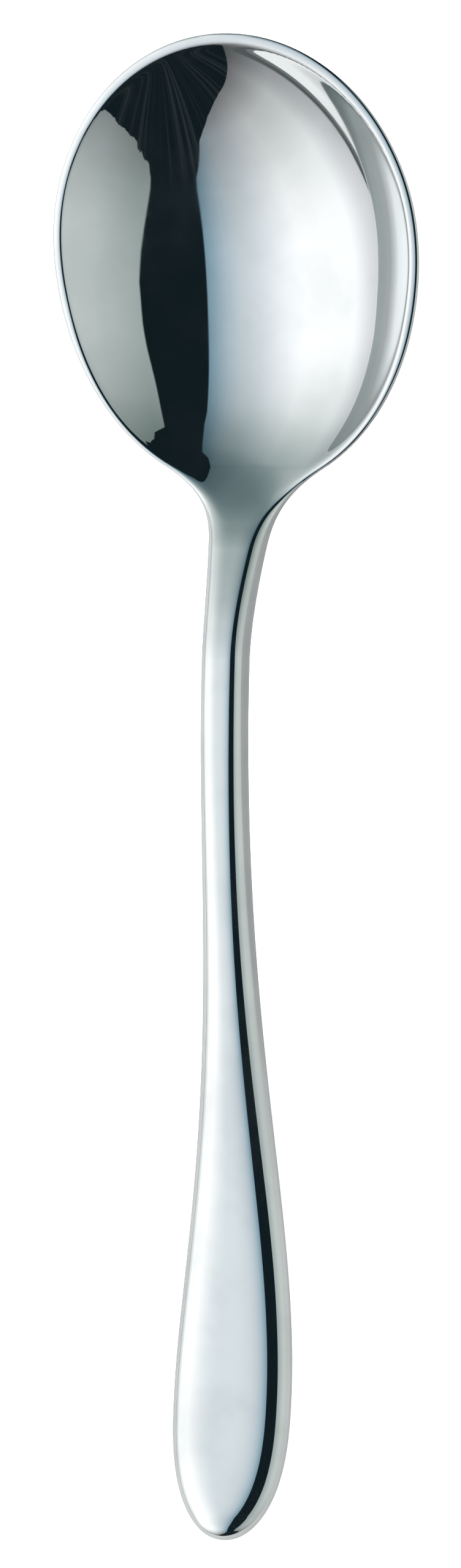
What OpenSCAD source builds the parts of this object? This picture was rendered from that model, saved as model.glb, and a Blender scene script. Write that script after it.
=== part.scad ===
// Soup spoon with an oval bowl, a drawn-in neck and a long pillowed handle.
// The spoon lies on a table at z = 0 with its bowl open upwards: the bowl points to +Y and the
// handle to -Y. Every station is a distance from the tip of the bowl, measured along the table.

/* [Whole spoon] */
// Length from the tip of the bowl to the point of the handle
spoon_len = 178; // [160:1:200]
// Angle by which the rim leans up towards the tip
bowl_tilt = 12.3; // [8:0.1:15]
// How deep the underside is flattened where it touches the table
sole_depth = 0.12; // [0.1:0.01:0.2]

/* [Bowl] */
// Width across the rim at the widest place
bowl_w = 45.8; // [40:0.1:52]
// Length from the tip back to the widest place
bowl_front_len = 25; // [21:0.1:29]
// Length from the widest place back to where the oval would close
bowl_back_len = 28.2; // [25:0.1:32]
// Length on each side of the widest place over which the two halves of the oval blend
bowl_blend_len = 12; // [6:0.5:18]
// Depth of the bowl below its rim, in the middle of the metal
bowl_depth = 10.4; // [8:0.1:13]
// Angle of the bowl's wall where it reaches the rim
wall_angle = 46; // [35:1:60]
// Thickness of the metal at the bottom of the bowl
bowl_wall = 1.8; // [1.4:0.1:2.4]
// Height that the level band along the rim takes from the top of the wall
rim_band_h = 1.1; // [0.5:0.05:1.2]
// Rounding between this band and the hollow
rim_band_round = 0.2; // [0.1:0.05:0.6]
// Distance over which the outer edge of the rim is rounded off
rim_round = 0.15; // [0.1:0.05:0.3]

/* [Neck] */
// Length before the closing of the oval at which the shoulders leave it
shoulder_len = 2.8; // [2:0.1:5]
// Length of the shoulders, from the oval to the straight stem
shoulder_blend_len = 9.9; // [7:0.1:13]
// Width of the stem where the shoulders end
stem_w = 7.1; // [6.4:0.1:9]
// Length from the start of the shoulders to the narrowest place, which is the top of the arch
neck_len = 23.3; // [19:0.1:30]
// Length before the shoulders over which the bowl's metal begins to thicken
heel_len = 16; // [8:0.5:20]
// Distance over which the edges of the stem are rounded off
stem_round = 1; // [0.8:0.05:1.4]
// Share of the stem's thickness that lies above its edges
stem_crown_share = 0.64; // [0.5:0.01:0.75]

/* [Handle] */
// Width at the narrowest place
narrow_w = 5.8; // [4.6:0.1:6.4]
// Thickness at the top of the arch
stem_t = 3.6; // [3:0.1:4.4]
// Height of the middle line at the top of the arch
arch_h = 9.9; // [8.5:0.1:14]
// Width at the widest place, near the end
handle_w = 14.8; // [11:0.1:19]
// Thickness where the handle touches the table
handle_t = 2.8; // [2.2:0.1:3.4]
// Length of the rounded end, from the widest place to the point
end_len = 16.9; // [12:0.1:24]
// Length from the point back to where the handle touches the table
rest_len = 28; // [22:0.5:34]
// Rise of the point above the place that touches the table
point_lift = 2.1; // [0.5:0.1:4]
// Distance over which the edges of the handle are rounded off
edge_round = 1.9; // [1.2:0.05:2.2]
// Share of the handle's thickness that lies above its edges, where it touches the table
crown_share = 0.83; // [0.6:0.01:0.85]

/* [Hidden] */

// Stations along the spoon
widest_at = bowl_front_len;
shoulder_at = bowl_front_len + bowl_back_len - shoulder_len;
stem_at = shoulder_at + shoulder_blend_len;
narrow_at = shoulder_at + neck_len;
heel_at = shoulder_at - heel_len;
wide_at = spoon_len - end_len;
rest_at = spoon_len - rest_len;

// Share of the bowl's thickness that lies above the middle line of its rim
rim_share = 0.5;

// Exponents of the curves that flare and close the handle
flare_exponent = 1.82;
end_exponent = 2.65;

// Sides of every section, and sections in each stretch
section_sides = 64;
tip_sections = 14;
heel_sections = 12;
neck_sections = 12;
flare_sections = 24;
end_sections = 12;

// Step for measuring how steeply a curve runs
probe = spoon_len / 10000;

// Smooth passage from 0 to 1 while t goes from 0 to 1
function smooth(t) =
    let (c = min(1, max(0, t)))
    c * c * (3 - 2 * c);

function mix(a, b, t) = a + (b - a) * t;

// Curve from a to b over a length, with the given slopes at its two ends
function blend_curve(a, b, slope_a, slope_b, len, t) =
    a * (1 - 3 * t * t + 2 * t * t * t)
    + b * (3 * t * t - 2 * t * t * t)
    + len * slope_a * t * (1 - t) * (1 - t)
    - len * slope_b * t * t * (1 - t);

// How far station s lies from the widest place of the oval: 0 there and 1 where the oval closes
function oval_reach(s) =
    let (
        d = s - widest_at,
        half_len = mix(bowl_front_len, bowl_back_len, smooth((d + bowl_blend_len) / (2 * bowl_blend_len)))
    )
    abs(d) / half_len;

// Half the width of the bowl's oval
function oval_half(s) = bowl_w / 2 * sqrt(max(0, 1 - pow(oval_reach(s), 2)));

// How far the handle has flared out at station s, from 0 at the narrowest place to 1 at the widest
function flare_share(s) = smooth(pow((s - narrow_at) / (wide_at - narrow_at), flare_exponent));

// Half the width of the stem, its flare and the rounded end
function stem_half(s) =
    s > wide_at
        ? handle_w / 2 * sqrt(max(0, 1 - pow((s - wide_at) / end_len, end_exponent)))
        : s > narrow_at
            ? mix(narrow_w, handle_w, flare_share(s)) / 2
            : mix(narrow_w, stem_w, pow((narrow_at - s) / (narrow_at - stem_at), 2)) / 2;

// Half the width of the whole spoon: the oval, the concave shoulders, then the stem and handle
function half_width(s) =
    s <= shoulder_at
        ? oval_half(s)
        : s >= stem_at
            ? stem_half(s)
            : blend_curve(
                oval_half(shoulder_at),
                stem_half(stem_at),
                (oval_half(shoulder_at) - oval_half(shoulder_at - probe)) / probe,
                (stem_half(stem_at + probe) - stem_half(stem_at)) / probe,
                shoulder_blend_len,
                (s - shoulder_at) / shoulder_blend_len
            );

// Share of the way from the bowl's form to the stem's form
function stem_share(s) = smooth((s - shoulder_at) / shoulder_blend_len);

// Share of the way from the top of the arch to the place where the handle touches the table
function rest_share(s) = smooth((s - narrow_at) / (rest_at - narrow_at));

// A value that is given for the rim, for the stem and for the resting handle
function along(at_rim, at_stem, at_rest, s) =
    mix(mix(at_rim, at_stem, stem_share(s)), at_rest, rest_share(s));

// Height of the level band along the rim, which ends with the bowl's form
function band_h(s) = rim_band_h * (1 - stem_share(s));

// Thickness of the metal along the middle, all of it and the parts above and below the edges
function thickness(s) =
    mix(mix(bowl_wall, stem_t, smooth((s - heel_at) / (narrow_at - heel_at))), handle_t, rest_share(s));
function above_edges(s) = thickness(s) * along(rim_share, stem_crown_share, crown_share, s);
function below_edges(s) = thickness(s) - above_edges(s);

// Hollow of the bowl as a spherical cap: 1 at its deepest and 0 at the rim
function hollow(reach_squared) =
    let (c = cos(wall_angle))
    (sqrt(1 - pow(sin(wall_angle), 2) * min(1, reach_squared)) - c) / (1 - c);

// Drop of the bowl's underside below the rim at its widest place, along the middle
function underside_drop(s) =
    tan(bowl_tilt) * (s - widest_at) + bowl_depth * hollow(pow(oval_reach(s), 2)) + below_edges(s);

// Height of the rim at the widest place, so that the lowest point of the bowl meets the table
rim_h = max([for (i = [1:section_sides]) underside_drop(shoulder_at * i / section_sides)]) - sole_depth;
shoulder_h = rim_h - tan(bowl_tilt) * (shoulder_at - widest_at);
rest_h = handle_t * (1 - crown_share) - sole_depth;

// Height of the line that the form follows: the rim, the rise to the arch, the fall and the lifted point
function line_height(s) =
    s < shoulder_at
        ? rim_h - tan(bowl_tilt) * (s - widest_at)
        : s < narrow_at
            ? blend_curve(shoulder_h, arch_h, -tan(bowl_tilt), 0, neck_len, (s - shoulder_at) / neck_len)
            : s < rest_at
                ? mix(arch_h, rest_h, rest_share(s))
                : rest_h + point_lift * pow((s - rest_at) / rest_len, 2);

function edge_height(s) = line_height(s) - band_h(s) / 2;

// Fall of the upper side below the band along the rim, for a given fall of the wall
function fall_from_band(wall_fall, s) =
    let (
        past = wall_fall - band_h(s),
        rounding = rim_band_round * (1 - stem_share(s))
    )
    (past + sqrt(past * past + rounding * rounding)) / 2;

// How much of the thickness is left near the two ends of the spoon, where the edge rounds over
function end_share(s) =
    let (
        at_tip = 1 - min(1, s / rim_round),
        at_point = 1 - min(1, (spoon_len - s) / edge_round)
    )
    sqrt(1 - at_tip * at_tip) * sqrt(1 - at_point * at_point);

// How squarely a section fills its width: the edge is rounded over the same distance everywhere
function section_exponent(s) =
    let (
        before = max(0, s - probe),
        after = min(spoon_len, s + probe),
        slope = (half_width(after) - half_width(before)) / (after - before),
        round_len = along(rim_round, stem_round, edge_round, s)
    )
    max(2, half_width(s) / round_len / sqrt(1 + slope * slope));

// One closed section across the spoon at station s. The table wears its lowest places flat.
function section(s) =
    let (
        half_w = half_width(s),
        exponent = section_exponent(s),
        edge = edge_height(s),
        above = (above_edges(s) - band_h(s) / 2) * end_share(s),
        below = (below_edges(s) - band_h(s) / 2) * end_share(s),
        depth = bowl_depth * (1 - stem_share(s)),
        width_squared = pow(half_w / (bowl_w / 2), 2)
    )
    [
        for (i = [0:section_sides - 1])
            let (
                angle = 360 * i / section_sides,
                across = cos(angle),
                wall_fall = depth * hollow(1 - width_squared * (1 - across * across)),
                body = sqrt(max(0, 1 - pow(abs(across), exponent))),
                height = 0 < i && i < section_sides / 2
                    ? edge - fall_from_band(wall_fall, s) + above * body
                    : edge - wall_fall - below * body
            )
            [half_w * across, spoon_len / 2 - s, max(0, height)]
    ];

function end_point(s) = [0, spoon_len / 2 - s, edge_height(s)];

// Solid through a row of sections. It closes with flat faces, or with a point where one is given.
module loft(stations, first_point = [], last_point = []) {
    n = section_sides;
    count = len(stations);
    rings = [for (s = stations) each section(s)];
    poles = concat(
        len(first_point) > 0 ? [first_point] : [],
        len(last_point) > 0 ? [last_point] : []
    );
    first_pole = n * count;
    last_pole = n * count + len(poles) - 1;
    skin = [
        for (r = [0:count - 2], i = [0:n - 1])
            let (
                a = r * n + i,
                b = r * n + (i + 1) % n,
                c = a + n,
                d = b + n
            )
            each [[a, b, c], [b, d, c]]
    ];
    front = len(first_point) > 0
        ? [for (i = [0:n - 1]) [first_pole, (i + 1) % n, i]]
        : [[for (i = [0:n - 1]) n - 1 - i]];
    last_ring = n * (count - 1);
    back = len(last_point) > 0
        ? [for (i = [0:n - 1]) [last_pole, last_ring + i, last_ring + (i + 1) % n]]
        : [[for (i = [0:n - 1]) last_ring + i]];
    polyhedron(points = concat(rings, poles), faces = concat(front, skin, back), convexity = 6);
}

module bowl() {
    front = [for (i = [1:tip_sections]) bowl_front_len * (1 - cos(90 * i / tip_sections))];
    heel = [for (i = [1:heel_sections]) mix(widest_at, shoulder_at, i / heel_sections)];
    color([0.80, 0.82, 0.83])
        loft(concat(front, heel), first_point = end_point(0));
}

module neck() {
    color([0.72, 0.76, 0.77])
        loft([for (i = [0:neck_sections]) mix(shoulder_at, narrow_at, i / neck_sections)]);
}

module handle() {
    flare = [for (i = [0:flare_sections]) mix(narrow_at, wide_at, i / flare_sections)];
    end = [for (i = [1:end_sections - 1]) wide_at + end_len * sin(90 * i / end_sections)];
    color([0.84, 0.86, 0.87])
        loft(concat(flare, end), last_point = end_point(spoon_len));
}

bowl();
neck();
handle();
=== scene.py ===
"""Soup spoon of mirror polished steel, dressed around its solids and laid on a pale studio floor."""

import math
from collections import namedtuple

import bmesh
import bpy
from bpy.props import FloatProperty, FloatVectorProperty, IntProperty, PointerProperty
from mathutils import Matrix, Vector


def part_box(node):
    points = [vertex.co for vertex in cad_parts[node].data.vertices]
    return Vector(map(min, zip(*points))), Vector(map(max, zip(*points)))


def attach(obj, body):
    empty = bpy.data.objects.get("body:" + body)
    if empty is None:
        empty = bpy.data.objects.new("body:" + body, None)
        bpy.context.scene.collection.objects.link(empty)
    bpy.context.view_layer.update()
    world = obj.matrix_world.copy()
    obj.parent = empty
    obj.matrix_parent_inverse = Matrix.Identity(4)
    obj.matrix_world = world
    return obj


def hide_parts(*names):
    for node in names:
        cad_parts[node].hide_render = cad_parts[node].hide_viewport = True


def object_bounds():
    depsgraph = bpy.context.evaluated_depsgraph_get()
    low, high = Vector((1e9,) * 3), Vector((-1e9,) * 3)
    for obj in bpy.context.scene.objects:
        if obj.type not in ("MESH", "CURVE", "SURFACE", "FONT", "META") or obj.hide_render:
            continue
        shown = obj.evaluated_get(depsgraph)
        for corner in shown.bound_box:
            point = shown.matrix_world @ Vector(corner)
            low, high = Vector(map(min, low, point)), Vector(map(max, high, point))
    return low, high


bl_info = {
    "name": "Soup spoon",
    "version": (1, 0, 0),
    "blender": (4, 5, 0),
    "location": "3D View > Sidebar > Spoon",
    "description": "Builds a polished soup spoon: bowl, neck and handle, with its studio",
    "category": "Add Mesh",
}

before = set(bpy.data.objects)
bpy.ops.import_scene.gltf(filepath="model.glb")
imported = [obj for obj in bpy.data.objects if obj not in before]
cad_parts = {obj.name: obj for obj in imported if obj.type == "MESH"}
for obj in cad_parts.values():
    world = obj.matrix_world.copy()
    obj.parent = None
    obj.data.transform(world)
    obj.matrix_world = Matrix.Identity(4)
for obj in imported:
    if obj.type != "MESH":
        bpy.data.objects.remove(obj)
CAD_LOW, CAD_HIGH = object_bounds()
BOWL_LOW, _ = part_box("bowl")
NECK_LOW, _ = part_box("neck")

QUARTER_TURN = math.pi / 2
# Corners that lie closer than this are joined, in metres
MERGE_DISTANCE = 1e-7
# Steps for measuring slopes: a share of the spoon's length, and an angle round a section
PROBE_SHARE = 1e-4
PROBE_TURN = 1e-4
# Stations at which the bowl's lowest place is looked for
LOWEST_PROBES = 64
# Exponent of a section's outline where it is round from edge to edge
ROUND_EXPONENT = 2
# Fewest sides or sections that a user may ask for
FEWEST_PARTS = 4
# Half the side of the flat grid that a piece is wound from
HALF_GRID = 0.5
FLAT_NORMAL = Vector((0, 0, -1))


def length(name, description, default):
    return FloatProperty(
        name=name,
        description=description,
        default=default,
        min=0,
        precision=5,
        subtype="DISTANCE",
        unit="LENGTH",
    )


def angle(name, description, degrees):
    return FloatProperty(
        name=name,
        description=description,
        default=math.radians(degrees),
        subtype="ANGLE",
        unit="ROTATION",
    )


def colour(name, description, default):
    return FloatVectorProperty(
        name=name, description=description, default=default, min=0, size=3, subtype="COLOR"
    )


def number(name, description, default):
    return FloatProperty(name=name, description=description, default=default, min=0, precision=4)


def count(name, description, default):
    return IntProperty(name=name, description=description, default=default, min=FEWEST_PARTS)


class SpoonSizes(bpy.types.PropertyGroup):
    """Sizes of the spoon. A station is a distance from the bowl's tip, along the table."""

    spoon_len: length("Length", "From the bowl's tip to the handle's point", CAD_HIGH.y - CAD_LOW.y)
    sole_depth: length("Sole depth", "How deep the underside is worn flat where it rests", 0.00012)

    bowl_w: length("Bowl width", "Across the rim at the widest place", CAD_HIGH.x - CAD_LOW.x)
    bowl_front_len: length("Bowl front", "From the tip to the widest place", 0.025)
    bowl_back_len: length("Bowl back", "From the widest place to where the oval closes", 0.0282)
    bowl_blend_len: length("Bowl blend", "Over which the halves of the oval blend", 0.012)
    bowl_depth: length("Bowl depth", "Below the rim, in the middle of the metal", 0.0104)
    bowl_tilt: angle("Bowl tilt", "How far the rim leans up towards the tip", 12.3)
    bowl_wall: length("Bowl wall", "Thickness at the bottom of the bowl", 0.0018)
    wall_angle: angle("Wall angle", "Of the bowl's wall where it reaches the rim", 46)
    rim_band_h: length("Rim band", "Height that the rim's level band takes from the wall", 0.0011)
    rim_band_round: length("Rim band rounding", "Between this band and the hollow", 0.0002)
    rim_round: length("Rim rounding", "Distance over which the rim's outer edge is rounded", 0.0004)
    heel_len: length("Heel length", "Over which the bowl's metal thickens before the neck", 0.016)

    root_at: length("Root station", "Where the hollow starts to soften towards the neck", 0.03)
    root_len: length("Root length", "Over which it softens", 0.02)
    root_round: length("Root rounding", "Between hollow and neck, in their middle", 0.00135)
    root_exponent: number("Root exponent", "How far to the sides this rounding reaches", 4)
    root_share: number("Root share", "Share that the level band loses at the root", 0.6)
    hollow_fade_at: length("Hollow's fade station", "Where the hollow starts to fade out", 0.0498)
    hollow_fade_len: length("Hollow's fade length", "Over which it fades out", 0.0076)

    shoulder_at: length("Shoulder station", "Where the shoulders start", CAD_HIGH.y - BOWL_LOW.y)
    shoulder_blend_len: length("Shoulder length", "From the oval to the straight stem", 0.0099)
    stem_w: length("Stem width", "Where the shoulders end", 0.0071)
    stem_t: length("Stem thickness", "At the top of the arch", 0.0036)
    stem_round: length("Stem rounding", "Distance over which the stem's edges are rounded", 0.0009)
    stem_crown_share: number("Stem crown", "Share of the stem's thickness above its edges", 0.64)
    narrow_at: length("Narrowest station", "The top of the arch", CAD_HIGH.y - NECK_LOW.y)
    narrow_w: length("Narrowest width", "Width at the top of the arch", 0.0058)
    arch_h: length("Arch height", "Height of the solid's edges at the top of the arch", 0.0099)
    arch_lift: length("Arch lift", "How much higher the dressed neck stands there", 0.00055)
    lift_len: length("Lift length", "Over which the neck takes this rise, from the shoulders on", 0.015)

    handle_w: length("Handle width", "At the widest place, near the end", 0.0148)
    handle_t: length("Handle thickness", "Where the handle rests", 0.0028)
    crown_share: number("Handle crown", "Share of the handle's thickness above its edges", 0.83)
    edge_round: length("Handle rounding", "Distance over which its edges are rounded", 0.0019)
    flare_exponent: number("Flare exponent", "How late the handle flares out", 1.82)
    end_exponent: number("End exponent", "How full the rounded end is", 2.65)
    end_len: length("End length", "From the widest place to the point", 0.0169)
    rest_len: length("Rest length", "From the point to where the handle rests", 0.028)
    point_lift: length("Point lift", "Rise of the point above the resting place", 0.0021)

    sides: count("Sides", "Sides of every section", 192)
    tip_rows: count("Tip rows", "Sections from the tip to the widest place", 64)
    heel_rows: count("Heel rows", "Sections from the widest place to the shoulders", 48)
    neck_rows: count("Neck rows", "Sections of the neck", 56)
    flare_rows: count("Flare rows", "Sections from the arch to the handle's widest place", 110)
    end_rows: count("End rows", "Sections of the rounded end", 48)


class SpoonFinish(bpy.types.PropertyGroup):
    """Colours and texture of the polished steel."""

    bowl_colour: colour("Bowl steel", "Steel in the bowl", (0.80, 0.82, 0.83))
    handle_colour: colour("Handle steel", "Steel of neck and handle", (0.82, 0.84, 0.84))
    tarnish_colour: colour("Handled steel", "Slightly duller, handled places", (0.74, 0.765, 0.77))
    polish: number("Polish", "Roughness of the best polished places", 0.018)
    haze: number("Haze", "Roughness of the most handled places", 0.05)
    haze_size: length("Haze size", "Size of the duller places", 0.011)
    worn_roughness: number("Worn roughness", "Roughness of the two resting places", 0.3)
    worn_height: length("Worn height", "Height above the table where the wear ends", 0.00035)
    ripple_size: length("Ripple size", "Length of the faint ripples left by polishing", 0.014)
    ripple_height: length("Ripple height", "Height of these ripples", 0.000006)
    hairline_size: length("Hairline spacing", "Distance between the finest polishing lines", 0.00022)
    hairline_height: length("Hairline height", "Height of these lines", 0.00000008)


class SpoonStudio(bpy.types.PropertyGroup):
    """Floor, the shade painted on it for the steel, light and camera."""

    floor_size: length("Floor size", "Side of the square floor", 8)
    floor_colour: colour("Floor", "Colour of the floor", (0.93, 0.93, 0.93))
    light_colour: colour("Light", "Even light that falls on the floor", (3, 3, 3))

    # Painted shade: the floor's colours as the steel mirrors them, far darker than the floor itself,
    # standing in for shade on the floor around the spoon
    painted_shade_left: colour("Mirrored left", "Floor on the left, in the steel", (0.252, 0.256, 0.256))
    painted_shade_right: colour("Mirrored right", "Floor on the right, in the steel", (0.135, 0.14, 0.14))
    painted_shade_end: colour("Mirrored end", "Floor right of the handle, in the steel", (0.205, 0.21, 0.21))
    painted_shade_far: colour("Mirrored far", "Floor further left, in the steel", (0.335, 0.34, 0.34))
    far_from: length("Far floor", "Distance at which this further floor has begun", 0.13)

    # The floor far to the left takes this colour as painted shade in the steel; the world also draws it
    # as a dark band low above the floor
    skyline_colour: colour("Skyline", "Dark line above the floor on the left", (0.05, 0.058, 0.058))
    skyline_from: length("Skyline distance", "Distance at which the floor takes its colour", 0.5)
    skyline_height: angle("Skyline height", "How high the line stands above the floor", 1.3)

    right_panel_gain: number("Right gain", "Share of its loss that the right panel regains", 0.13)
    gap_colour: colour("Gap", "The dark gap between the panels", (0.006, 0.013, 0.017))
    gap_softness: angle("Gap softness", "How softly the panels end at the gap", 0.45)
    streak_colour: colour("Streaks", "Paler streaks in the gap's near end", (0.026, 0.034, 0.037))
    streak_density: number("Streak density", "How many streaks there are to a degree", 0.3)
    streak_wander: angle("Streak wander", "How far they fray the right panel's near edge", 14)

    camera_roll: angle("Camera lean", "How far it leans to the right of straight above", 20)
    camera_turn: angle("Camera turn", "Turn of the camera about its own axis", 1.668)
    camera_distance: length("Camera distance", "From the camera to the spoon", 0.9)
    view_height: length("View height", "Height of the picture at that distance", 0.185603)
    look_right: length("Look right", "How far right of the middle the camera looks", 0.000127)
    look_up: length("Look up", "How far up from the middle the camera looks", 0.001008)
    look_height: length("Look height", "Height above the floor that the camera looks at", 0.008)


# ---- form of the spoon

Ring = namedtuple(
    "Ring", "half_w y edge exponent above below depth band rounding root_rounding width_squared"
)


def smooth(share):
    """From 0 to 1, level at both ends."""
    share = min(1, max(0, share))
    return share * share * (3 - 2 * share)


def gentle(share):
    """Like smooth, but its curvature has no jump at the ends."""
    share = min(1, max(0, share))
    return share**3 * (share * (6 * share - 15) + 10)


def mix(a, b, share):
    return a + (b - a) * share


def rise(s, start, span):
    """0 up to the start and 1 past the span."""
    return smooth((s - start) / span)


def blend_curve(a, b, slope_a, slope_b, span, t):
    """Curve from a to b over a span, with the given slopes at its two ends."""
    start = a * (1 - 3 * t**2 + 2 * t**3) + span * slope_a * t * (1 - t) ** 2
    return start + b * (3 * t**2 - 2 * t**3) - span * slope_b * t**2 * (1 - t)


class SpoonForm:
    """The spoon's form: its sections as functions of the station s."""

    def __init__(self, sizes):
        for name in SpoonSizes.__annotations__:
            setattr(self, name, getattr(sizes, name))
        self.probe = self.spoon_len * PROBE_SHARE
        self.slope = math.tan(self.bowl_tilt)
        self.stem_at = self.shoulder_at + self.shoulder_blend_len
        self.heel_at = self.shoulder_at - self.heel_len
        self.wide_at = self.spoon_len - self.end_len
        self.rest_at = self.spoon_len - self.rest_len
        self.shoulder_half = self.oval_half(self.shoulder_at)
        before_shoulder = self.oval_half(self.shoulder_at - self.probe)
        self.shoulder_slope = (self.shoulder_half - before_shoulder) / self.probe
        past_stem = self.stem_half(self.stem_at + self.probe)
        self.stem_slope = (past_stem - self.stem_half(self.stem_at)) / self.probe
        probes = range(1, LOWEST_PROBES + 1)
        drops = [self.underside_drop(self.shoulder_at * i / LOWEST_PROBES) for i in probes]
        self.rim_h = max(drops) - self.sole_depth
        self.rest_h = self.handle_t * (1 - self.crown_share) - self.sole_depth

    def oval_reach(self, s):
        """0 at the widest place of the oval and 1 where it closes."""
        ahead = s - self.bowl_front_len
        share = smooth((ahead + self.bowl_blend_len) / (2 * self.bowl_blend_len))
        return abs(ahead) / mix(self.bowl_front_len, self.bowl_back_len, share)

    def oval_half(self, s):
        return self.bowl_w / 2 * math.sqrt(max(0, 1 - self.oval_reach(s) ** 2))

    def stem_half(self, s):
        if s > self.wide_at:
            share = min(1, (s - self.wide_at) / self.end_len)
            return self.handle_w / 2 * math.sqrt(max(0, 1 - share**self.end_exponent))
        if s > self.narrow_at:
            share = (s - self.narrow_at) / (self.wide_at - self.narrow_at)
            return mix(self.narrow_w, self.handle_w, smooth(share**self.flare_exponent)) / 2
        share = (self.narrow_at - s) / (self.narrow_at - self.stem_at)
        return mix(self.narrow_w, self.stem_w, share**2) / 2

    def half_width(self, s):
        """The oval, the concave shoulders, then the stem and handle."""
        if s <= self.shoulder_at:
            return self.oval_half(s)
        if s >= self.stem_at:
            return self.stem_half(s)
        return blend_curve(
            self.shoulder_half,
            self.stem_half(self.stem_at),
            self.shoulder_slope,
            self.stem_slope,
            self.shoulder_blend_len,
            (s - self.shoulder_at) / self.shoulder_blend_len,
        )

    def stem_share(self, s):
        return rise(s, self.shoulder_at, self.shoulder_blend_len)

    def rest_share(self, s):
        return rise(s, self.narrow_at, self.rest_at - self.narrow_at)

    def along(self, at_rim, at_stem, at_rest, s):
        return mix(mix(at_rim, at_stem, self.stem_share(s)), at_rest, self.rest_share(s))

    def thickness(self, s):
        thickened = rise(s, self.heel_at, self.narrow_at - self.heel_at)
        return mix(mix(self.bowl_wall, self.stem_t, thickened), self.handle_t, self.rest_share(s))

    def above_edges(self, s):
        """Metal above the edges: half of it in the bowl, and the crown's share further on."""
        return self.thickness(s) * self.along(1 / 2, self.stem_crown_share, self.crown_share, s)

    def hollow(self, reach_squared):
        """Hollow of the bowl as a spherical cap: 1 at its deepest and 0 at the rim."""
        rim = math.cos(self.wall_angle)
        sine = math.sin(self.wall_angle)
        return (math.sqrt(1 - sine**2 * min(1, reach_squared)) - rim) / (1 - rim)

    def underside_drop(self, s):
        """How far the bowl's underside lies below the rim's widest place."""
        fall = self.bowl_depth * self.hollow(self.oval_reach(s) ** 2)
        below = self.thickness(s) - self.above_edges(s)
        return self.slope * (s - self.bowl_front_len) + fall + below

    def band(self, s):
        """Height of the level band along the rim, which ends with the bowl's form."""
        return self.rim_band_h * (1 - self.stem_share(s))

    def lift(self, s):
        """How far the whole neck stands above the line."""
        lifted = gentle((s - self.shoulder_at) / self.lift_len)
        return self.arch_lift * lifted * (1 - self.rest_share(s))

    def line_height(self, s):
        """Height of the line that the form follows: rim, rise to the arch, fall, lifted point."""
        if s < self.shoulder_at:
            return self.rim_h - self.slope * (s - self.bowl_front_len)
        if s < self.narrow_at:
            shoulder_h = self.rim_h - self.slope * (self.shoulder_at - self.bowl_front_len)
            span = self.narrow_at - self.shoulder_at
            share = (s - self.shoulder_at) / span
            return blend_curve(shoulder_h, self.arch_h, -self.slope, 0, span, share)
        if s < self.rest_at:
            return mix(self.arch_h, self.rest_h, self.rest_share(s))
        return self.rest_h + self.point_lift * ((s - self.rest_at) / self.rest_len) ** 2

    def edge_height(self, s):
        return self.line_height(s) + self.lift(s) - self.band(s) / 2

    def end_share(self, s):
        """How much of the thickness is left near the two ends, where the edge rounds over."""
        at_tip = 1 - min(1, s / self.rim_round)
        at_point = 1 - min(1, (self.spoon_len - s) / self.edge_round)
        return math.sqrt(1 - at_tip**2) * math.sqrt(1 - at_point**2)

    def ring(self, s):
        """Measures of the section at a station."""
        before, after = max(0, s - self.probe), min(self.spoon_len, s + self.probe)
        slope = (self.half_width(after) - self.half_width(before)) / (after - before)
        half_w = self.half_width(s)
        round_len = self.along(self.rim_round, self.stem_round, self.edge_round, s)
        above = self.above_edges(s)
        band = self.band(s)
        hollowed = 1 - gentle((s - self.hollow_fade_at) / self.hollow_fade_len)
        root = rise(s, self.root_at, self.root_len)
        return Ring(
            half_w=half_w,
            y=self.spoon_len / 2 - s,
            edge=self.edge_height(s),
            exponent=max(ROUND_EXPONENT, half_w / round_len / math.hypot(1, slope)),
            above=(above - band / 2) * self.end_share(s),
            below=(self.thickness(s) - above - band / 2) * self.end_share(s),
            depth=self.bowl_depth * hollowed,
            band=self.rim_band_h * hollowed * (1 - self.root_share * root),
            rounding=self.rim_band_round * hollowed,
            root_rounding=self.root_round * root * hollowed,
            width_squared=(half_w / (self.bowl_w / 2)) ** 2,
        )

    def point(self, ring, turn):
        """Point of a section at an angle round it: 0 is the right edge, a quarter turn the top."""
        across = math.cos(turn)
        fall = ring.depth * self.hollow(1 - ring.width_squared * (1 - across**2))
        body = math.sqrt(max(0, 1 - abs(across) ** ring.exponent))
        if math.sin(turn) > 0:
            rounding = ring.rounding + ring.root_rounding * (1 - across**self.root_exponent)
            fall = (fall - ring.band + math.hypot(fall - ring.band, rounding)) / 2
            height = ring.edge - fall + ring.above * body
        else:
            height = ring.edge - fall - ring.below * body
        return Vector((ring.half_w * across, ring.y, height))

    def row(self, s, turns):
        """Points of one section with their outward normals. The table wears the lowest ones flat."""
        if s < MERGE_DISTANCE or s > self.spoon_len - MERGE_DISTANCE:
            tip = Vector((0, self.spoon_len / 2 - s, self.edge_height(s)))
            outward = Vector((0, math.copysign(1, tip.y), 0))
            return [(tip, outward)] * len(turns)
        step = min(self.probe, s / 2, (self.spoon_len - s) / 2)
        before, here, after = self.ring(s - step), self.ring(s), self.ring(s + step)
        made = []
        for turn in turns:
            place = self.point(here, turn)
            round_it = self.point(here, turn + PROBE_TURN) - self.point(here, turn - PROBE_TURN)
            along_it = self.point(after, turn) - self.point(before, turn)
            outward = round_it.cross(along_it).normalized()
            if place.z < 0:
                place.z, outward = 0, FLAT_NORMAL
            made.append((place, outward))
        return made


def even(start, end, rows):
    """Stations at even distances, with both ends."""
    return [mix(start, end, i / rows) for i in range(rows + 1)]


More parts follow.
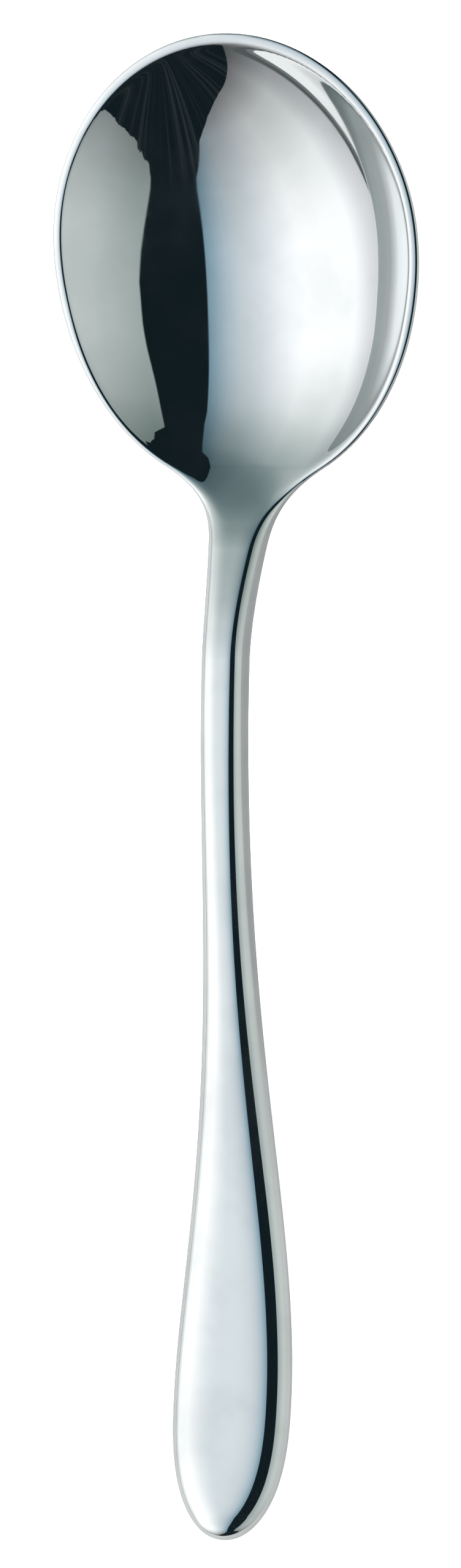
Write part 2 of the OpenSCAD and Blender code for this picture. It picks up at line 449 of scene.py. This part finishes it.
def loft(name, form, stations):
    """A closed piece through the sections at these stations, with the form's own normals."""
    rows = len(stations) - 1
    turns = [math.tau * i / form.sides for i in range(form.sides + 1)]
    made = [form.row(s, turns) for s in stations]
    bm = bmesh.new()
    bmesh.ops.create_grid(bm, x_segments=form.sides, y_segments=rows, size=HALF_GRID)
    outward = bm.verts.layers.float_vector.new("outward")
    for vert in bm.verts:
        # A corner's place in the flat grid tells its side and its row
        side = round((vert.co.x + HALF_GRID) * form.sides)
        row = round((vert.co.y + HALF_GRID) * rows)
        vert.co, vert[outward] = made[row][side]
    bmesh.ops.remove_doubles(bm, verts=bm.verts, dist=MERGE_DISTANCE)
    open_edges = [edge for edge in bm.edges if edge.is_boundary]
    caps = bmesh.ops.holes_fill(bm, edges=open_edges, sides=0)["faces"]
    bmesh.ops.recalc_face_normals(bm, faces=bm.faces)
    normals = []
    for face in bm.faces:
        face.smooth = True
        flat = face.normal.copy() if face in caps else None
        normals += [flat or loop.vert[outward].copy() for loop in face.loops]
    bm.verts.layers.float_vector.remove(outward)
    mesh = bpy.data.meshes.new(name)
    bm.to_mesh(mesh)
    bm.free()
    mesh.normals_split_custom_set(normals)
    piece = bpy.data.objects.new(name, mesh)
    bpy.context.scene.collection.objects.link(piece)
    return piece


def place(piece, material, node, slot):
    piece.data.materials.append(material)
    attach(piece, "root")
    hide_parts(node)


# ---- finish of the steel

# Sockets of a mix node that blends colours: its share and the two colours, and the result
MIX_INPUTS = (0, 6, 7)
MIX_OUTPUT = 2
# Each noise: how many finer layers it has, and how strong each is beside the one before
HAZE_NOISE = (3.0, 0.6)
RIPPLE_NOISE = (1.0, 0.4)
HAIRLINE_NOISE = (2.0, 0.5)
GRAIN_NOISE = (2.0, 0.5)
STREAK_NOISE = (3.0, 0.6)
# Values of the haze's noise between which the steel turns duller
HAZE_SPAN = (0.42, 0.68)
# How fast the hairlines change along the spoon, beside how fast they change across it
BOWL_LINES_ALONG = 0.08
HANDLE_LINES_ALONG = 0.02


class NodeMaker:
    """Adds nodes to a tree and joins them: a value is a number, a tuple or another node's socket."""

    def __init__(self, tree):
        self.tree = tree
        tree.nodes.clear()

    def add(self, kind, output=0, settings=None, **inputs):
        """A new node's output. An input is given by its name, or as i0, i1 and so on by its number."""
        node = self.tree.nodes.new("ShaderNode" + kind)
        for name, value in (settings or {}).items():
            setattr(node, name, value)
        for name, value in inputs.items():
            numbered = name[0] == "i" and name[1:].isdigit()
            key = int(name[1:]) if numbered else name.replace("_", " ")
            self.put(node.inputs[key], value)
        return node.outputs[output] if node.outputs else node

    def put(self, socket, value):
        if isinstance(value, bpy.types.NodeSocket):
            self.tree.links.new(value, socket)
        else:
            socket.default_value = value

    def math(self, operation, *values):
        socket = self.add("Math", settings={"operation": operation})
        for i, value in enumerate(values):
            self.put(socket.node.inputs[i], value)
        return socket

    def noise(self, where, scale, kind):
        layers, strength = kind
        return self.add("TexNoise", Vector=where, Scale=scale, Detail=layers, Roughness=strength)

    def soft_step(self, value, start, end):
        """0 before the start and 1 past the end, which may be the lower of the two."""
        settings = {"interpolation_type": "SMOOTHSTEP"}
        if start < end:
            return self.add("MapRange", 0, settings, i0=value, i1=start, i2=end, i3=0.0, i4=1.0)
        return self.add("MapRange", 0, settings, i0=value, i1=end, i2=start, i3=1.0, i4=0.0)

    def blend(self, share, a, b, how="MIX"):
        """Colour a where share is 0, and b where it is 1."""
        node = self.tree.nodes.new("ShaderNodeMix")
        node.data_type = "RGBA"
        node.blend_type = how
        for i, value in zip(MIX_INPUTS, (share, a, b)):
            self.put(node.inputs[i], value)
        return node.outputs[MIX_OUTPUT]

    def tint(self, a, b):
        return self.blend(1.0, a, b, "MULTIPLY")

    def shades(self, value, stops):
        """Colours at places along a value."""
        first, last = stops[0][0], stops[-1][0]
        share = self.add("MapRange", i0=value, i1=first, i2=last, i3=0.0, i4=1.0)
        socket = self.add("ValToRGB", Fac=share)
        elements = socket.node.color_ramp.elements
        while len(elements) < len(stops):
            elements.new(1)
        for element, (at, shade) in zip(elements, stops):
            element.position = (at - first) / (last - first)
            element.color = rgba(shade)
        return socket

    def track(self, value, points):
        """A number that runs straight between points along a value."""
        low = min(height for _, height in points)
        high = max(height for _, height in points)
        stops = [(at, [(height - low) / (high - low)] * 3) for at, height in points]
        share = self.shades(value, stops)
        return self.add("MapRange", i0=share, i1=0.0, i2=1.0, i3=float(low), i4=float(high))


def rgba(values):
    return (*values, 1)


def polished_steel(name, finish, steel, lines_along):
    """Mirror polished steel: ripples, hairlines along the spoon, duller places and worn soles."""
    material = bpy.data.materials.new(name)
    material.use_nodes = True
    make = NodeMaker(material.node_tree)
    where = make.add("TexCoord", "Object")
    haze = make.noise(where, 1 / finish.haze_size, HAZE_NOISE)
    dull = make.soft_step(haze, *HAZE_SPAN)
    height = make.add("SeparateXYZ", "Z", Vector=where)
    worn = make.soft_step(height, finish.worn_height, 0.0)
    polish = make.math("MULTIPLY_ADD", dull, finish.haze - finish.polish, finish.polish)
    ripples = make.noise(where, 1 / finish.ripple_size, RIPPLE_NOISE)
    waves = make.add("Bump", Strength=1.0, Distance=finish.ripple_height, Height=ripples)
    stretched = make.add("Mapping", Vector=where, Scale=(1, lines_along, 1))
    lines = make.noise(stretched, 1 / finish.hairline_size, HAIRLINE_NOISE)
    shader = make.add(
        "BsdfPrincipled",
        Base_Color=make.blend(dull, rgba(steel), rgba(finish.tarnish_colour)),
        Metallic=1.0,
        Roughness=make.add("MapRange", i0=worn, i3=polish, i4=finish.worn_roughness),
        Normal=make.add(
            "Bump", Strength=1.0, Distance=finish.hairline_height, Height=lines, Normal=waves
        ),
    )
    make.add("OutputMaterial", Surface=shader)
    return material


# ---- pieces


class SPOON_OT_bowl(bpy.types.Operator):
    """Builds the bowl: its oval rim, its hollow and the heel towards the neck"""

    bl_idname = "spoon.bowl"
    bl_label = "Bowl"

    def execute(self, context):
        form = SpoonForm(context.scene.spoon_sizes)
        finish = context.scene.spoon_finish
        turns = [QUARTER_TURN * i / form.tip_rows for i in range(form.tip_rows)]
        front = [form.bowl_front_len * (1 - math.cos(turn)) for turn in turns]
        heel = even(form.bowl_front_len, form.shoulder_at, form.heel_rows)
        bowl = loft("spoon_bowl", form, front + heel)
        steel = polished_steel(
            "Mirror polished bowl steel", finish, finish.bowl_colour, BOWL_LINES_ALONG
        )
        place(bowl, steel, "bowl", "polished_bowl")
        return {"FINISHED"}


class SPOON_OT_handle(bpy.types.Operator):
    """Builds the neck with its concave shoulders, and the flared handle with its rounded end"""

    bl_idname = "spoon.handle"
    bl_label = "Neck and handle"

    def execute(self, context):
        form = SpoonForm(context.scene.spoon_sizes)
        finish = context.scene.spoon_finish
        steel = polished_steel(
            "Mirror polished handle steel", finish, finish.handle_colour, HANDLE_LINES_ALONG
        )
        neck = loft("spoon_neck", form, even(form.shoulder_at, form.narrow_at, form.neck_rows))
        place(neck, steel, "neck", "polished_handle")
        flare = even(form.narrow_at, form.wide_at, form.flare_rows)
        turns = [QUARTER_TURN * i / form.end_rows for i in range(1, form.end_rows + 1)]
        end = [form.wide_at + form.end_len * math.sin(turn) for turn in turns]
        handle = loft("spoon_handle", form, flare + end)
        place(handle, steel, "handle", "polished_handle")
        return {"FINISHED"}


# ---- studio: what the steel mirrors, the floor and the camera

# Panels that the steel mirrors, by degrees from straight up towards +X: their light there
PANEL_SHADES = (
    (-180, (0.45, 0.47, 0.48)),
    (-96, (0.58, 0.60, 0.61)),
    (-90, (0.70, 0.71, 0.72)),
    (-80, (0.90, 0.91, 0.92)),
    (-70, (1.22, 1.23, 1.23)),
    (-42, (1.26, 1.26, 1.26)),
    (-30, (1.06, 1.09, 1.11)),
    (-20, (0.83, 0.89, 0.925)),
    (-10, (0.66, 0.73, 0.78)),
    (-4, (0.50, 0.61, 0.68)),
    (5, (0.22, 0.36, 0.45)),
    (20, (0.42, 0.45, 0.45)),
    (34.5, (0.40, 0.465, 0.445)),
    (40, (0.445, 0.51, 0.49)),
    (45, (0.496, 0.55, 0.536)),
    (50, (0.536, 0.59, 0.577)),
    (56, (0.60, 0.655, 0.645)),
    (62, (0.63, 0.68, 0.665)),
    (70, (0.64, 0.685, 0.65)),
    (85, (0.62, 0.665, 0.64)),
    (100, (0.42, 0.44, 0.44)),
    (180, (0.30, 0.31, 0.31)),
)
# The same panels where the bowl mirrors them twice
TWICE_SHADES = (
    (-180, (0.45, 0.47, 0.48)),
    (-96, (0.40, 0.42, 0.42)),
    (-91, (0.09, 0.10, 0.10)),
    (-84, (0.09, 0.10, 0.10)),
    (-79, (0.90, 0.91, 0.91)),
    (-64, (1.42, 1.42, 1.42)),
    (-46, (1.38, 1.38, 1.38)),
    (-36, (1.22, 1.24, 1.24)),
    (-30, (0.82, 0.85, 0.84)),
    (-24, (0.56, 0.585, 0.575)),
    (-10, (0.52, 0.56, 0.55)),
    (-4, (0.34, 0.38, 0.38)),
    (5, (0.18, 0.22, 0.22)),
    (34, (0.40, 0.465, 0.445)),
    (60, (0.62, 0.67, 0.655)),
    (100, (0.42, 0.44, 0.44)),
    (180, (0.30, 0.31, 0.31)),
)
# How much of that light is left towards the near end (-1) and the far end (1)
PANEL_FADE = (
    (-1, (0.03, 0.03, 0.03)),
    (-0.95, (0.10, 0.10, 0.10)),
    (-0.85, (0.45, 0.46, 0.46)),
    (-0.65, (0.78, 0.79, 0.79)),
    (-0.45, (0.96, 0.96, 0.96)),
    (-0.35, (1, 1, 1)),
    (0.05, (1, 1, 1)),
    (0.15, (0.94, 0.945, 0.945)),
    (0.2, (0.89, 0.90, 0.90)),
    (0.3, (0.81, 0.825, 0.82)),
    (0.4, (0.715, 0.745, 0.74)),
    (0.5, (0.57, 0.61, 0.60)),
    (0.6, (0.435, 0.485, 0.475)),
    (0.65, (0.375, 0.425, 0.42)),
    (0.7, (0.30, 0.355, 0.35)),
    (0.75, (0.20, 0.255, 0.255)),
    (0.8, (0.145, 0.192, 0.202)),
    (0.85, (0.108, 0.15, 0.16)),
    (0.9, (0.08, 0.115, 0.125)),
    (1, (0.055, 0.08, 0.085)),
)
# Edges of the gap between the panels, in degrees, by the place towards the far end
GAP_LEFT = (
    (-1, -170), (-0.95, -110), (-0.937, -60), (-0.93, -38), (-0.92, -26.5), (-0.9, -16),
    (-0.87, -8), (-0.84, -2.5), (-0.8, -0.3), (-0.76, 2), (-0.72, 4.4), (-0.67, 5.2),
    (0.47, 5.2), (0.56, 6), (0.63, 5.8), (0.68, 5.6), (0.73, 4.8), (0.75, 0), (0.77, -2.5),
    (0.8, -4.5), (0.84, -6.5), (0.88, -8), (1, -20),
)
GAP_RIGHT = (
    (-1, 150), (-0.9, 72), (-0.87, 62), (-0.855, 55), (-0.84, 47), (-0.82, 40), (-0.78, 35),
    (-0.75, 31), (-0.7, 29.7), (-0.65, 29.9), (-0.58, 30.9), (-0.45, 32.7), (-0.31, 34.4),
    (-0.16, 35.5), (-0.01, 35), (0.12, 33.8), (0.27, 31.9), (0.35, 31.1), (0.6, 29.3),
    (0.64, 36), (0.685, 37), (0.7, 50), (0.72, 95), (1, 110),
)
# Glossy depth that parts what is mirrored once from what is mirrored twice
MIRRORED_TWICE = 1.5
# Places towards the far end, and degrees to the right, between which the right panel regains light
REGAIN_ALONG = (0.0, 0.3)
REGAIN_TURN = (0.0, 30.0)
# Places between which the gap's near end turns streaked, and values that make a pale streak
STREAKED_ALONG = (-0.6, -0.85)
STREAK_SPAN = (0.48, 0.68)
# The streaks' middle value, which doesn't move the panel's edge
STREAK_MIDDLE = 0.5
# Places to the left between which the skyline sets in, and the share of its height that is soft
SKYLINE_ACROSS = (0.0, -0.2)
SKYLINE_SOFTNESS = 0.3
# How much lighter the skyline shines above the floor than its colour, because no light falls on it
SKYLINE_GAIN = 2

# Squares along each side of the floor
FLOOR_SQUARES = 4
FLOOR_ROUGHNESS = 0.95
FLOOR_SHEEN = 0.1
# Grains to a metre, and their shade beside the floor's colour
GRAIN_DENSITY = 300.0
GRAIN_SHADE = 0.985
# Metres along and across the floor between which its painted shades, seen only in the steel, change
# over
END_ALONG = (-0.02, -0.045)
LEFT_TO_RIGHT = (-0.02, 0.02)
# Share of the distance at which the far floor's painted shade, and the skyline's colour painted on the
# floor, start to set in
FAR_START = 0.6
SKYLINE_START = 0.8
# Nearest place that the camera shows, as a share of its distance
CLIP_SHARE = 0.01


def soft_panels(make, studio, y, turn, glossy_depth):
    """Light of the two panels. It falls off towards both ends, and a little less on the far right."""
    twice = make.math("GREATER_THAN", glossy_depth, MIRRORED_TWICE)
    light = make.blend(twice, make.shades(turn, PANEL_SHADES), make.shades(turn, TWICE_SHADES))
    on_far_right = make.math(
        "MULTIPLY", make.soft_step(y, *REGAIN_ALONG), make.soft_step(turn, *REGAIN_TURN)
    )
    regained = make.math("MULTIPLY", on_far_right, studio.right_panel_gain)
    return make.tint(light, make.blend(regained, make.shades(y, PANEL_FADE), rgba((1, 1, 1))))


def dark_gap(make, studio, y, turn):
    """Where the gap between the panels is, and its shade. Its near end is streaked and frayed."""
    along = make.add("CombineXYZ", X=turn, Y=y)
    streaks = make.noise(along, studio.streak_density, STREAK_NOISE)
    near = make.soft_step(y, *STREAKED_ALONG)
    pale = make.math("MULTIPLY", make.soft_step(streaks, *STREAK_SPAN), near)
    shade = make.blend(pale, rgba(studio.gap_colour), rgba(studio.streak_colour))
    off_middle = make.math("SUBTRACT", streaks, STREAK_MIDDLE)
    wander = make.math("MULTIPLY", off_middle, math.degrees(studio.streak_wander))
    right_of = make.math("SUBTRACT", turn, make.track(y, GAP_LEFT))
    left_of = make.math("SUBTRACT", make.track(y, GAP_RIGHT), turn)
    left_of = make.math("ADD", left_of, make.math("MULTIPLY", wander, near))
    edge = math.degrees(studio.gap_softness)
    inside = make.math(
        "MULTIPLY", make.soft_step(right_of, -edge, edge), make.soft_step(left_of, -edge, edge)
    )
    return inside, shade


def low_skyline(make, studio, x, z):
    """Where the dark skyline is: low above the floor, on the left."""
    top = math.sin(studio.skyline_height)
    low = make.soft_step(z, (1 + SKYLINE_SOFTNESS) * top, (1 - SKYLINE_SOFTNESS) * top)
    return make.math("MULTIPLY", low, make.soft_step(x, *SKYLINE_ACROSS))


def studio_world(studio):
    """Even light for the floor, and for the steel two soft panels, a dark gap and a dark skyline."""
    world = bpy.data.worlds.new("Studio panels")
    world.use_nodes = True
    make = NodeMaker(world.node_tree)
    direction = make.add("TexCoord", "Generated")
    x, y, z = make.add("SeparateXYZ", Vector=direction).node.outputs
    turn = make.math("DEGREES", make.math("ARCTAN2", x, z))
    path = make.add("LightPath").node.outputs
    panels = soft_panels(make, studio, y, turn, path["Glossy Depth"])
    gap, gap_shade = dark_gap(make, studio, y, turn)
    mirrored = make.blend(gap, panels, gap_shade)
    skyline_shade = rgba([SKYLINE_GAIN * c for c in studio.skyline_colour])
    mirrored = make.blend(low_skyline(make, studio, x, z), mirrored, skyline_shade)
    light = make.blend(path["Is Glossy Ray"], rgba(studio.light_colour), mirrored)
    backdrop = make.add("Background", Color=light, Strength=1.0)
    make.add("OutputWorld", Surface=backdrop)
    return world


def floor_material(studio):
    """Pale floor with a fine grain. The steel sees it with painted shade: darker colours that change
    with the place.
    """
    material = bpy.data.materials.new("Pale studio floor")
    material.use_nodes = True
    make = NodeMaker(material.node_tree)
    where = make.add("TexCoord", "Object")
    grain = make.noise(where, GRAIN_DENSITY, GRAIN_NOISE)
    grain_colour = [c * GRAIN_SHADE for c in studio.floor_colour]
    seen = make.blend(grain, rgba(studio.floor_colour), rgba(grain_colour))
    x, y, _ = make.add("SeparateXYZ", Vector=where).node.outputs
    # Painted shade, seen only in the steel: darkest on the right, darker near the spoon than further
    # left, and the dark skyline painted on far to the left
    at_end = make.soft_step(y, *END_ALONG)
    right_painted_shade = make.blend(at_end, rgba(studio.painted_shade_right), rgba(studio.painted_shade_end))
    far = make.soft_step(x, -FAR_START * studio.far_from, -studio.far_from)
    left_painted_shade = make.blend(far, rgba(studio.painted_shade_left), rgba(studio.painted_shade_far))
    farthest = make.soft_step(x, -SKYLINE_START * studio.skyline_from, -studio.skyline_from)
    left_painted_shade = make.blend(farthest, left_painted_shade, rgba(studio.skyline_colour))
    mirrored = make.blend(make.soft_step(x, *LEFT_TO_RIGHT), left_painted_shade, right_painted_shade)
    # Glossy rays see the painted shade; the camera and all other rays see the pale floor
    shader = make.add(
        "BsdfPrincipled",
        Base_Color=make.blend(make.add("LightPath", "Is Glossy Ray"), seen, mirrored),
        Roughness=FLOOR_ROUGHNESS,
        Specular_IOR_Level=FLOOR_SHEEN,
    )
    make.add("OutputMaterial", Surface=shader)
    return material


def lay_floor(scene, studio):
    bm = bmesh.new()
    bmesh.ops.create_grid(
        bm, x_segments=FLOOR_SQUARES, y_segments=FLOOR_SQUARES, size=studio.floor_size / 2
    )
    mesh = bpy.data.meshes.new("studio_floor")
    bm.to_mesh(mesh)
    bm.free()
    floor = bpy.data.objects.new("studio_floor", mesh)
    scene.collection.objects.link(floor)
    mesh.materials.append(floor_material(studio))


def set_camera(scene, studio):
    """A camera that leans to the right and looks at the spoon's middle."""
    back = Vector((math.sin(studio.camera_roll), 0, math.cos(studio.camera_roll)))
    level = Vector((math.cos(studio.camera_roll), 0, -math.sin(studio.camera_roll)))
    turn = Matrix.Rotation(studio.camera_turn, 3, back)
    right, up = turn @ level, turn @ back.cross(level)
    middle = Vector((0, 0, studio.look_height))
    target = middle + studio.look_right * right + studio.look_up * up
    data = bpy.data.cameras.new("studio_camera")
    data.lens = data.sensor_width * studio.camera_distance / studio.view_height
    data.clip_start = studio.camera_distance * CLIP_SHARE
    camera = bpy.data.objects.new("studio_camera", data)
    axes = Matrix((right, up, back)).transposed().to_4x4()
    camera.matrix_world = Matrix.Translation(target + studio.camera_distance * back) @ axes
    scene.collection.objects.link(camera)
    scene.camera = camera


class SPOON_OT_studio(bpy.types.Operator):
    """Lays the pale floor and sets up the soft light and the camera"""

    bl_idname = "spoon.studio"
    bl_label = "Studio"

    def execute(self, context):
        scene = context.scene
        scene.world = studio_world(scene.spoon_studio)
        scene.view_settings.view_transform = "Standard"
        lay_floor(scene, scene.spoon_studio)
        set_camera(scene, scene.spoon_studio)
        return {"FINISHED"}


# ---- add-on

GROUPS = {"spoon_sizes": SpoonSizes, "spoon_finish": SpoonFinish, "spoon_studio": SpoonStudio}
OPERATORS = (SPOON_OT_bowl, SPOON_OT_handle, SPOON_OT_studio)


class SPOON_PT_panel(bpy.types.Panel):
    """Lists the sizes, the finish and the steps of building"""

    bl_label = "Soup spoon"
    bl_idname = "SPOON_PT_panel"
    bl_space_type = "VIEW_3D"
    bl_region_type = "UI"
    bl_category = "Spoon"

    def draw(self, context):
        for group_name, kind in GROUPS.items():
            box = self.layout.box()
            for name in kind.__annotations__:
                box.prop(getattr(context.scene, group_name), name)
        for operator in OPERATORS:
            self.layout.operator(operator.bl_idname)


def register():
    for kind in (*GROUPS.values(), *OPERATORS, SPOON_PT_panel):
        bpy.utils.register_class(kind)
    for name, kind in GROUPS.items():
        setattr(bpy.types.Scene, name, PointerProperty(type=kind))


def unregister():
    for name in GROUPS:
        delattr(bpy.types.Scene, name)
    for kind in (SPOON_PT_panel, *OPERATORS, *GROUPS.values()):
        bpy.utils.unregister_class(kind)


def main():
    register()
    bpy.ops.spoon.bowl()
    bpy.ops.spoon.handle()
    bpy.ops.spoon.studio()


if __name__ == "__main__":
    main()
